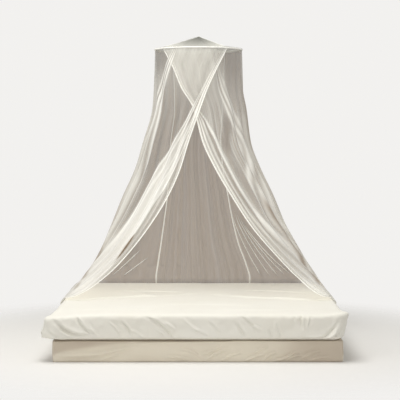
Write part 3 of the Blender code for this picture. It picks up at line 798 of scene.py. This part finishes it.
# The left wall's slit beside its strip, painted as a stripe of deep shade: where it starts, how high it is,
# and half its width shut and open.
SLIT_FOOT, SLIT_RISE = 0.565, 0.19
SLIT_SHUT, SLIT_OPEN = 0.0015, 0.0140
# The right wall's thin place between its bundles: its share at a level, how far it leans, and half its width.
THIN_SHARE, THIN_LEVEL, THIN_LEAN, THIN_HALF = 0.345, 1.41, 0.32, 0.052
# The right wall's fold that turns away low down, darkened as painted shade: heights, the way past the
# rounding there, and half its width.
TURNED_LEVELS = (0.36, 0.467, 0.59, 0.72, 0.857, 1.00)
TURNED_WAYS = (-0.055, -0.105, -0.108, -0.155, -0.215, -0.255)
TURNED_HALF = 0.030


def crests_across(place, crests):
    """The sum of a bell for each sharp fold."""
    return sum(strong * np.exp(-(((place - middle) / half) ** 2)) for middle, half, strong in crests)


def strands_across(place, seed, coarse, fine):
    """Uneven strands from -1 to 1 across a bundle, whose place runs from 0 to 1 from side to side: a coarse
    and a fine rumple, each drawn out along the fall of the cloth."""
    fall = drop + 0 * place
    return 0.6 * rumple(place, fall, coarse, 2, seed) + 0.6 * rumple(place, fall, fine, 3, seed + 100)


def side_wall(side, folds, bunches, crests, seed):
    """A side wall's points and outward directions, its cloth map, and its cover and shade.

    Each column keeps its share of the way from the free edge to the seam, drawn to the edge by a power. The
    folds are a sine across the columns along the outward direction, with uneven strands on them that follow
    the bundles. Cover is the bundles' own, more on a strand and where a fold turns steeply away. Shade is
    painted shade, on the back of the wall and in the gaps between strands. Then come the places that differ:
    a thin gap between the right wall's bundles, a fold where each wall rounds to its side and a fold turned
    away low on the right, both darkened as painted shade, and low on the left a slit beside the strip,
    painted as a nearly opaque stripe of deep shade, with painted shade over the left wall's lower part.
    """
    name = "left" if side < 0 else "right"
    edge = section_value("edge_" + name, heights)
    seam = half_round(heights, side) - section_value("seam_" + name, heights)
    distance = edge + (seam - edge) * share ** section_value("gather", heights)
    z = heights + 0 * distance
    point, outward = outline(side * distance, z)
    place, depth = fold_waves(share[0], folds)
    deep = fold_depth(distance, place, z, depth)

    strip = bunch_value(bunches, "strip", heights)
    bundle = bunch_value(bunches, "bundle", heights)
    second = bunch_value(bunches, "second", heights)
    reach = bunch_value(bunches, "reach", heights)
    soft = 0.010 - 0.006 * smooth_step(heights, 1.50, 1.85)
    in_strip = 1 - smooth_step(share, strip - soft, strip + soft)
    in_bundle = (1 - smooth_step(share, bundle - soft, bundle + 1.4 * soft)) * (1 - in_strip)
    in_second = np.exp(-np.abs((share - second) / reach / 1.05) ** 6.0)
    past = smooth_step(share, second - 0.02, second + 0.10)
    gap = np.exp(-(((share - THIN_SHARE - THIN_LEAN * (heights - THIN_LEVEL)) / THIN_HALF) ** 4)) * (side > 0)
    gap = gap * smooth_step(heights, 1.28, 1.38) * smooth_step(-heights, -1.66, -1.55)
    thick = bunch_value(bunches, "between", heights) * (1 - 0.85 * gap)
    thick = thick + (bunch_value(bunches, "beyond", heights) - thick) * past
    thick = thick + (bunch_value(bunches, "in_second", heights) - thick) * in_second
    thick = thick + (bunch_value(bunches, "in_bundle", heights) - thick) * in_bundle
    thick = thick + (bunch_value(bunches, "in_strip", heights) - thick) * in_strip

    across_bundle = np.clip((share - strip) / np.maximum(bundle - strip, 0.02), 0, 1)
    across_second = np.clip((share - second) / reach / 3 + 0.5, 0, 1)
    first_folds = crests_across(across_bundle, crests[0]) - 0.25
    first_folds = first_folds + 0.7 * strands_across(across_bundle, seed, 8, 17)
    if side < 0:
        first_folds = np.maximum(first_folds, -0.25 - 0.85 * smooth_step(heights, 1.40, 1.65))
    second_folds = crests_across((share - second) / reach, crests[1]) - 0.30
    second_folds = second_folds + 0.6 * strands_across(across_second, seed + 7, 5, 12)
    strands = in_bundle * first_folds + in_second * (1 - in_bundle) * second_folds
    open_net = 1 - np.clip(in_bundle + in_second + in_strip, 0, 1)
    calm = 1 - 0.75 * smooth_step(heights, 1.55, 1.75)
    strands = strands + open_net * calm * 0.8 * strands_across(share + 0 * z, seed + 3, 46, 150)
    strands = strands + in_strip * 0.5 * strands_across(share + 0 * z, seed + 5, 60, 220)
    calmer = 0.35 if side < 0 else 0.55
    low_calm = 1 - calmer * smooth_step(-heights, -0.95, -0.65) - 0.25 * smooth_step(-heights, -0.40, -0.29)
    strands = strands * low_calm

    wave = np.sin(2 * math.pi * place)
    offset = deep * (wave + section_value("lift", z))
    offset = offset + np.minimum(deep, 0.006) * strands * (0.22 + 0.30 * np.clip(in_bundle + in_second, 0, 1))
    offset = np.where(section_value("lift", z) > 0.5, np.maximum(offset, 0), offset)
    fade = np.clip((PARTED_FADES[1] - share) / (PARTED_FADES[1] - PARTED_FADES[0]), 0, 1)
    offset = offset - side * section_value("parted", z) * fade
    offset = offset * np.clip((1 - share) / 0.01, 0, 1)

    slope = np.gradient(deep * wave, axis=1) / np.maximum(np.gradient(distance, axis=1), 1e-5)
    hair = rumple(share + 0 * z, drop + 0 * share, 420, 2, seed + 2)
    layers = (1 + 0.30 * (np.sqrt(1 + slope**2) - 1)) * np.exp(1.15 * strands + 0.16 * hair)
    cover = 1 - (1 - np.clip(thick, 0, 0.96)) ** np.maximum(layers, 0.15)
    cover = np.where(heights < NET_FOOT + HEM, np.maximum(cover, 0.78), cover)
    # Painted shade: past the rounding, the back of the wall takes a steady cover and the shaded colour, less
    # of it near the hem.
    low_down = smooth_step(-heights, -0.40, -0.31)
    behind = smooth_step(share, 0.60 + 0.13 * low_down, 0.80 + 0.08 * low_down)
    cover = cover + (0.80 + 0.05 * strands + 0.03 * hair - cover) * behind
    behind = behind * (1 - 0.45 * smooth_step(-heights, -0.32, -0.10))
    seam_line = share > 1 - 0.0022 - 0.0014 * smooth_step(heights, 0.90, 1.30)
    cover = np.where(seam_line, 0.96, cover)
    # Painted shade in the gaps between the strands of the bundles.
    painted_darkening = 0.26 * np.clip(-strands, 0, 1) * (in_bundle + in_second) * (1 - behind)
    shade = np.where(seam_line, 0.04, behind * (0.97 - 0.10 * np.clip(strands, 0, 1)) + painted_darkening)
    # Painted shade: one fold is darkened where the wall rounds to the side. On the left a slit beside the
    # strip is painted as a nearly opaque stripe of deep shade, and the lower part is darkened; on the right
    # another fold is darkened where it turns away, low down.
    half, corner = section_value(name, heights), section_value("corner", heights)
    past_round = distance - (half - corner) - corner * math.pi / 2
    rounded = smooth_step(past_round, -0.080, -0.020) * (1 - smooth_step(past_round, 0.0, 0.06))
    rounded = rounded * (1 - low_down) * smooth_step(-heights, -2.0, -1.7)
    cover = cover + (np.maximum(cover, 0.80) - cover) * rounded
    shade = shade + 0.50 * rounded * (1 - behind)
    if side < 0:
        opened = np.sin(math.pi * np.clip((heights - SLIT_FOOT) / SLIT_RISE, 0, 1))
        slit = np.exp(-(((share - strip - 0.005) / (SLIT_SHUT + SLIT_OPEN * opened)) ** 2))
        slit = slit * np.minimum(3 * opened, 1)
        cover = cover + (0.94 - cover) * slit
        shade = shade + 0.15 * (1 - behind) * smooth_step(-heights, -0.90, -0.55)
        shade = shade + (1.12 - shade) * slit
    else:
        turned = np.interp(heights, TURNED_LEVELS, TURNED_WAYS)
        turned = np.exp(-(((past_round - turned) / TURNED_HALF) ** 2)) * smooth_step(heights, 0.36, 0.42)
        turned = turned * smooth_step(-heights, -1.05, -0.90)
        cover = cover + (np.maximum(cover, 0.86) - cover) * turned
        shade = shade + (0.92 - shade) * turned
    uv = np.stack([WALL_WIDTH * share + 0 * z, drop * WALL_DROP + 0 * share], axis=-1)
    return point + outward * offset[..., None], outward, uv, cover, shade


walls = {}
for name, side, folds, bunches, crests, seed in (
    ("left", -1, LEFT_FOLDS, LEFT_BUNCHES, LEFT_CRESTS, 31),
    ("right", 1, RIGHT_FOLDS, RIGHT_BUNCHES, RIGHT_CRESTS, 47),
):
    points, outward, uv, cover, shade = side_wall(side, folds, bunches, crests, seed)
    quads = grid_quads(WALL_ROWS, WALL_COLUMNS)
    piece = add_piece(
        "net_wall_" + name,
        points,
        quads[:, ::-1] if side > 0 else quads,
        netting,
        uv=uv,
        values={"cover": cover, "shade": shade},
    )
    piece.visible_shadow = False  # a real net this fine hardly shades what is under it
    walls[name] = (piece, points, outward)

# Single folds that stand up from the back of each wall and catch the light, fanning out down to the
# mattress. Each row is the way from the middle of the back and the height at its top and at its foot, and
# how far it bows.
RIGHT_STRAYS = (
    (0.262, 0.85, 0.490, 0.350, 1.30), (0.284, 0.86, 0.560, 0.350, 1.35), (0.302, 0.85, 0.625, 0.350, 1.35),
    (0.320, 0.83, 0.680, 0.355, 1.35), (0.344, 0.79, 0.722, 0.360, 1.30),
)
LEFT_STRAYS = ((0.445, 0.563, 0.670, 0.355, 1.0), (0.388, 0.500, 0.585, 0.355, 1.0))
STRAY_WIDTH, STRAY_RISE, STRAY_FOOT, STRAY_RIDGE = 0.0070, 0.0026, 0.0036, 0.0042
STRAY_STEPS = 60


def stray_folds(points, outward, side, rows):
    """Thin raised strips on a wall, and how thickly each is seen. Each goes outwards from the middle of the
    back as a power of how far it has fallen, turned to a share of the wall there."""
    made, faces, covers = [], [], []
    name = "left" if side < 0 else "right"
    for top_out, top, low_out, low, bow in rows:
        fallen = np.linspace(0, 1, STRAY_STEPS)
        level = top + (low - top) * fallen
        edge = section_value("edge_" + name, level)
        end = half_round(level, side) - section_value("seam_" + name, level)
        way = half_round(level, side) - (top_out + (low_out - top_out) * fallen**bow)
        path_share = np.clip((way - edge) / (end - edge), 0, 1) ** (1 / section_value("gather", level))
        row = np.interp(-level, -heights[:, 0], np.arange(WALL_ROWS))
        column = path_share**0.8 * (WALL_COLUMNS - 1)
        i, j = row.astype(int), np.minimum(column.astype(int), WALL_COLUMNS - 2)
        s, t = (row - i)[:, None], (column - j)[:, None]
        on = (points[i, j] * (1 - t) + points[i, j + 1] * t) * (1 - s)
        on = on + (points[i + 1, j] * (1 - t) + points[i + 1, j + 1] * t) * s
        inward = -outward[i, j]
        along = np.gradient(on, axis=0)
        along /= np.linalg.norm(along, axis=1)[:, None]
        beside = np.cross(along, inward)
        slim = np.clip(np.minimum((fallen + 0.04) / 0.30, (1.02 - fallen) / 0.10), 0, 1)[:, None] ** 0.7
        half = STRAY_WIDTH / 2 * slim
        ridge = on + inward * (STRAY_RIDGE + STRAY_RISE * slim)
        near, far = on - beside * half + inward * STRAY_FOOT, on + beside * half + inward * STRAY_FOOT
        start = sum(len(one) for one in made)
        made.append(np.stack([near, ridge, far], 1).reshape(-1, 3))
        faces.append(grid_quads(STRAY_STEPS, 3) + start)
        covers.append(np.repeat(0.92 * slim[:, 0], 3))
    return np.concatenate(made), np.concatenate(faces), np.concatenate(covers)


for name, side, rows in (("left", -1, LEFT_STRAYS), ("right", 1, RIGHT_STRAYS)):
    piece, points, outward = walls[name]
    places, faces, covers = stray_folds(points, outward, side, rows)
    strays = add_piece(
        "stray_folds_" + name,
        places,
        faces,
        netting,
        uv=places[:, [0, 2]],
        values={"cover": covers, "shade": 0.05 * covers},
    )
    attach(strays, "root")
    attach(piece, "root")
    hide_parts("net_" + name)

# ---------------------------------------------------------------------------------------------
# Back wall: a plain width of the same net between the two back seams. It hangs nearly flat, in fine
# upright folds, and falls behind the head of the mattress.

BACK_FOLDS = ((1.1, 0.6), (0.9, 0.8), (1.2, 0.5), (0.9, 0.8), (1.0, 0.6))
BACK_COLUMNS = 300
BACK_MAP = (0.75, 2.2)
GAP = 0.0003

share = np.linspace(0, 1, BACK_COLUMNS)[None, :]
place, depth = fold_waves(share[0], BACK_FOLDS)
half_left, half_right = half_round(heights, -1), half_round(heights, 1)
right_end = section_value("seam_right", heights) - GAP / 2
left_end = section_value("seam_left", heights) - GAP / 2
across = right_end - (right_end + left_end) * share
distance = np.where(across >= 0, half_right - across, -(half_left + across))
z = heights + 0 * share
point, outward = outline(distance, z)
deep = fold_depth(across, place, z, depth)
drift = 0.4 * rumple(share + 0 * z, drop + 0 * share, 16, 4, 61)
ripple = np.sin(2 * math.pi * (4 * place + drift)) * 0.16
ripple = ripple + np.sin(2 * math.pi * (11 * place + 2 * drift)) * 0.05
offset = deep * (np.sin(2 * math.pi * place) + section_value("lift", z) + ripple)
offset = np.where(section_value("lift", z) > 0.5, np.maximum(offset, 0), offset)
offset = offset * np.clip(share / 0.02, 0, 1) * np.clip((1 - share) / 0.02, 0, 1)
streak = rumple(share + 0 * z, drop + 0 * share, 60, 3, 62)
hair = rumple(share + 0 * z, drop + 0 * share, 210, 2, 63)
cover = 0.80 + 0.035 * streak + 0.05 * hair
cover = np.where(heights < NET_FOOT + HEM, np.maximum(cover, 0.78), cover)
seam_width = 0.0045 + 0.0035 * smooth_step(heights, 0.90, 1.30)
seam_line = (share < seam_width) | (share > 1 - seam_width)
cover = np.where(seam_line, 0.96, cover)
# Painted shade: the whole back wall takes the shaded colour, less of it near the hem.
shade = (1 - 0.45 * smooth_step(-heights, -0.32, -0.10)) * (0.97 - 0.10 * np.clip(hair, 0, 1))
back = add_piece(
    "net_wall_back",
    point + outward * offset[..., None],
    grid_quads(WALL_ROWS, BACK_COLUMNS)[:, ::-1],
    netting,
    uv=np.stack([BACK_MAP[0] * share + 0 * z, drop * BACK_MAP[1] + 0 * share], axis=-1),
    values={"cover": cover, "shade": np.where(seam_line, 0.04, shade)},
)
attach(back, "root")
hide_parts("net_back")

# ---------------------------------------------------------------------------------------------
# Edge tapes: narrow white tape folded over each free edge of the net and sewn down both sides,
# from the hoop to the hem.

TAPE_WIDTH, TAPE_THICK = 0.009, 0.0026
tape_turn = np.arange(12) * 2 * math.pi / 12
for name, side in (("left", -1), ("right", 1)):
    _, points, outward = walls[name]
    edge, facing = points[:, 0], outward[:, 0]
    beyond = np.cross(facing, (0.0, 0.0, 1.0)) * side
    middle = edge + beyond * (GAP + TAPE_WIDTH / 2)
    step = np.linspace(0, 1, len(edge))
    swell = 1 + 0.10 * rumple(step, 0 * step, 90, 1, 71 + side)
    wide = (TAPE_WIDTH / 2) * np.sign(np.cos(tape_turn)) * np.abs(np.cos(tape_turn)) ** 0.6
    thick = (TAPE_THICK / 2) * np.sign(np.sin(tape_turn)) * np.abs(np.sin(tape_turn)) ** 0.6
    points = (
        middle[:, None]
        + beyond[:, None] * wide[None, :, None]
        + facing[:, None] * (thick[None, :] * swell[:, None])[..., None]
    )
    quads, caps = grid_quads(len(edge), 12, closed=True), end_caps(len(edge), 12)
    if side < 0:
        quads = quads[:, ::-1]
    else:
        caps = tuple(cap[::-1] for cap in caps)
    tape = add_piece("edge_binding_" + name, points, quads, white_tape, caps=caps)
    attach(tape, "root")
    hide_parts("edge_tape_" + name)

# ---------------------------------------------------------------------------------------------
# Studio: a pale floor that fades into an even pale backdrop, soft lights in front and above, and
# the camera at the foot of the bed, a little above the height of the mattress.

BACKDROP = (0.89, 0.88, 0.862)
AMBIENT = (0.51, 0.505, 0.495)
stage_world = bpy.data.worlds.new("studio")
bpy.context.scene.world = stage_world
stage_world.use_nodes = True
sky = stage_world.node_tree
seen = sky.nodes.new("ShaderNodeLightPath")
tone = sky.nodes.new("ShaderNodeMix")
tone.data_type = "RGBA"
tone.inputs["A"].default_value = (*AMBIENT, 1)
tone.inputs["B"].default_value = (*BACKDROP, 1)
sky.links.new(seen.outputs["Is Camera Ray"], tone.inputs["Factor"])
sky.links.new(tone.outputs["Result"], sky.nodes["Background"].inputs["Color"])

floor_material, link, shader, node = new_material("pale_floor", 0.95)
shader.inputs["Base Color"].default_value = (0.76, 0.75, 0.73, 1)
shader.inputs["Specular IOR Level"].default_value = 0.0
floor_place = node("ShaderNodeTexCoord")
distance_out = node("ShaderNodeVectorMath", operation="LENGTH")
fade = node("ShaderNodeMapRange", interpolation_type="SMOOTHSTEP")
fade.inputs["From Min"].default_value = 1.35
fade.inputs["From Max"].default_value = 2.6
fade.inputs["To Min"].default_value = 1.0
fade.inputs["To Max"].default_value = 0.0
link(floor_place.outputs["Object"], distance_out.inputs[0])
link(distance_out.outputs["Value"], fade.inputs["Value"])
link(fade.outputs["Result"], shader.inputs["Alpha"])
turn = np.arange(96) * 2 * math.pi / 96
rings = np.array((0.01, 6.0))[:, None]
floor_points = np.stack([rings * np.cos(turn), rings * np.sin(turn), -0.0005 + 0 * rings * turn], axis=-1)
floor_quads = grid_quads(2, 96, closed=True)[:, ::-1]
floor = add_piece("floor", floor_points, floor_quads, floor_material, caps=(np.arange(96),))


def area_light(name, place, aim, size, power, colour):
    """A square soft light at a place, turned to face its aim."""
    light = bpy.data.lights.new(name, "AREA")
    light.size, light.energy, light.color = size, power, colour
    lamp = bpy.data.objects.new(name, light)
    bpy.context.scene.collection.objects.link(lamp)
    lamp.location = place
    lamp.rotation_euler = (Vector(aim) - Vector(place)).to_track_quat("-Z", "Y").to_euler()
    return lamp


area_light("key", (-3.6, -5.2, 4.2), (0, 0, 0.9), 3.0, 78, (1.0, 0.988, 0.962))
area_light("fill", (4.2, -5.4, 2.6), (0, 0, 0.9), 3.2, 30, (1.0, 0.935, 0.85))
area_light("above", (-0.6, -1.2, 5.0), (-0.1, -0.2, 0.3), 2.8, 160, (1.0, 0.99, 0.96))

bpy.context.scene.view_settings.view_transform = "Standard"

camera = bpy.data.objects.new("camera", bpy.data.cameras.new("camera"))
bpy.context.scene.collection.objects.link(camera)
bpy.context.scene.camera = camera
camera.data.sensor_width = 36
camera.data.lens = 120.9
camera.data.clip_end = 200
camera.location = (0, bed_y - 9.515, 1.443)
camera.rotation_euler = (math.radians(90 - 2.712), 0, math.radians(-0.064))
